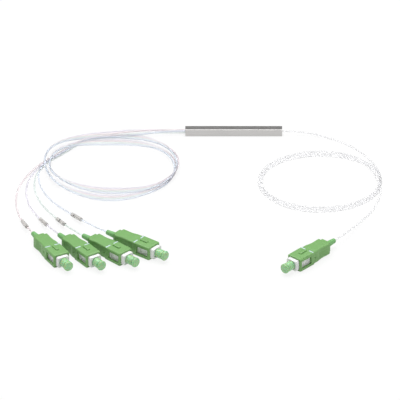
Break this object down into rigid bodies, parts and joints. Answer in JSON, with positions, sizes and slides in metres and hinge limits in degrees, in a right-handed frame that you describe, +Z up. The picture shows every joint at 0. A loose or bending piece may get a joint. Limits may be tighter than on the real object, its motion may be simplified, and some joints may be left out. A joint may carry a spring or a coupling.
{
  "type": "plc fibre splitter",
  "caption": "Steel tube planar fibre splitter with one input cord, four output cords, green angled push-pull plugs, dust caps and numbered sleeves.",
  "frame": {"origin": "under the middle of the steel tube, on the surface it lies on", "axes": "+X along the tube to its input end, +Y away from the plugs, +Z up"},
  "size_m": [0.1889, 0.148, 0.008],
  "materials": {
    "stainless_steel": "brushed",
    "epoxy": "gloss",
    "silica": "polished",
    "bare_fibre": "gloss",
    "cord_tube": "satin",
    "clear_sleeve": "translucent",
    "green_plastic": "satin",
    "white_plastic": "satin",
    "ceramic": "polished",
    "spring_steel": "bright",
    "rear_body": "matte",
    "green_rubber": "matte",
    "cap_plastic": "translucent"
  },
  "bodies": {
    "root": {"steel_tube": "stainless_steel", "input_end_seal": "epoxy", "output_end_seal": "epoxy", "splitter_chip": "silica", "input_fibre_block": "silica", "output_fibre_block": "silica", "input_bare_fibre": "bare_fibre", "output_ribbon": "bare_fibre", "input_lead": "cord_tube", "input_coil": "cord_tube", "input_tail": "cord_tube", "output_coil": "cord_tube", "output_lead_1": "cord_tube", "output_lead_2": "cord_tube", "output_lead_3": "cord_tube", "output_lead_4": "cord_tube", "output_tail_1": "cord_tube", "output_tail_2": "cord_tube", "output_tail_3": "cord_tube", "output_tail_4": "cord_tube", "number_sleeve_1": "clear_sleeve", "number_sleeve_2": "clear_sleeve", "number_sleeve_3": "clear_sleeve", "number_sleeve_4": "clear_sleeve", "plug_frame_1": "white_plastic", "spring_1": "spring_steel", "stop_body_1": "rear_body", "boot_1": "green_rubber", "plug_frame_2": "white_plastic", "spring_2": "spring_steel", "stop_body_2": "rear_body", "boot_2": "green_rubber", "plug_frame_3": "white_plastic", "spring_3": "spring_steel", "stop_body_3": "rear_body", "boot_3": "green_rubber", "plug_frame_4": "white_plastic", "spring_4": "spring_steel", "stop_body_4": "rear_body", "boot_4": "green_rubber", "plug_frame_5": "white_plastic", "spring_5": "spring_steel", "stop_body_5": "rear_body", "boot_5": "green_rubber"},
    "grip_1": {"grip_1": "green_plastic"},
    "ferrule_1": {"ferrule_1": "ceramic"},
    "dust_cap_1": {"dust_cap_1": "cap_plastic"},
    "grip_2": {"grip_2": "green_plastic"},
    "ferrule_2": {"ferrule_2": "ceramic"},
    "dust_cap_2": {"dust_cap_2": "cap_plastic"},
    "grip_3": {"grip_3": "green_plastic"},
    "ferrule_3": {"ferrule_3": "ceramic"},
    "dust_cap_3": {"dust_cap_3": "cap_plastic"},
    "grip_4": {"grip_4": "green_plastic"},
    "ferrule_4": {"ferrule_4": "ceramic"},
    "dust_cap_4": {"dust_cap_4": "cap_plastic"},
    "grip_5": {"grip_5": "green_plastic"},
    "ferrule_5": {"ferrule_5": "ceramic"},
    "dust_cap_5": {"dust_cap_5": "cap_plastic"}
  },
  "joints": [
    {"name": "grip_1_pull", "type": "slide", "parent": "root", "child": "grip_1", "axis": [-0.4787, 0.878, 0], "range_m": [0, 0.0015]},
    {"name": "ferrule_1_float", "type": "slide", "parent": "root", "child": "ferrule_1", "axis": [-0.4787, 0.878, 0], "range_m": [0, 0.001], "stiffness_N_per_m": 1000, "deforming": ["spring_1"]},
    {"name": "dust_cap_1_pull_off", "type": "slide", "parent": "root", "child": "dust_cap_1", "axis": [0.4787, -0.878, 0], "range_m": [0, 0.015]},
    {"name": "grip_2_pull", "type": "slide", "parent": "root", "child": "grip_2", "axis": [-0.5693, 0.8221, 0], "range_m": [0, 0.0015]},
    {"name": "ferrule_2_float", "type": "slide", "parent": "root", "child": "ferrule_2", "axis": [-0.5693, 0.8221, 0], "range_m": [0, 0.001], "stiffness_N_per_m": 1000, "deforming": ["spring_2"]},
    {"name": "dust_cap_2_pull_off", "type": "slide", "parent": "root", "child": "dust_cap_2", "axis": [0.5693, -0.8221, 0], "range_m": [0, 0.015]},
    {"name": "grip_3_pull", "type": "slide", "parent": "root", "child": "grip_3", "axis": [-0.7022, 0.712, 0], "range_m": [0, 0.0015]},
    {"name": "ferrule_3_float", "type": "slide", "parent": "root", "child": "ferrule_3", "axis": [-0.7022, 0.712, 0], "range_m": [0, 0.001], "stiffness_N_per_m": 1000, "deforming": ["spring_3"]},
    {"name": "dust_cap_3_pull_off", "type": "slide", "parent": "root", "child": "dust_cap_3", "axis": [0.7022, -0.712, 0], "range_m": [0, 0.015]},
    {"name": "grip_4_pull", "type": "slide", "parent": "root", "child": "grip_4", "axis": [-0.776, 0.6307, 0], "range_m": [0, 0.0015]},
    {"name": "ferrule_4_float", "type": "slide", "parent": "root", "child": "ferrule_4", "axis": [-0.776, 0.6307, 0], "range_m": [0, 0.001], "stiffness_N_per_m": 1000, "deforming": ["spring_4"]},
    {"name": "dust_cap_4_pull_off", "type": "slide", "parent": "root", "child": "dust_cap_4", "axis": [0.776, -0.6307, 0], "range_m": [0, 0.015]},
    {"name": "grip_5_pull", "type": "slide", "parent": "root", "child": "grip_5", "axis": [0.6639, 0.7478, 0], "range_m": [0, 0.0015]},
    {"name": "ferrule_5_float", "type": "slide", "parent": "root", "child": "ferrule_5", "axis": [0.6639, 0.7478, 0], "range_m": [0, 0.001], "stiffness_N_per_m": 1000, "deforming": ["spring_5"]},
    {"name": "dust_cap_5_pull_off", "type": "slide", "parent": "root", "child": "dust_cap_5", "axis": [-0.6639, -0.7478, 0], "range_m": [0, 0.015]}
  ]
}
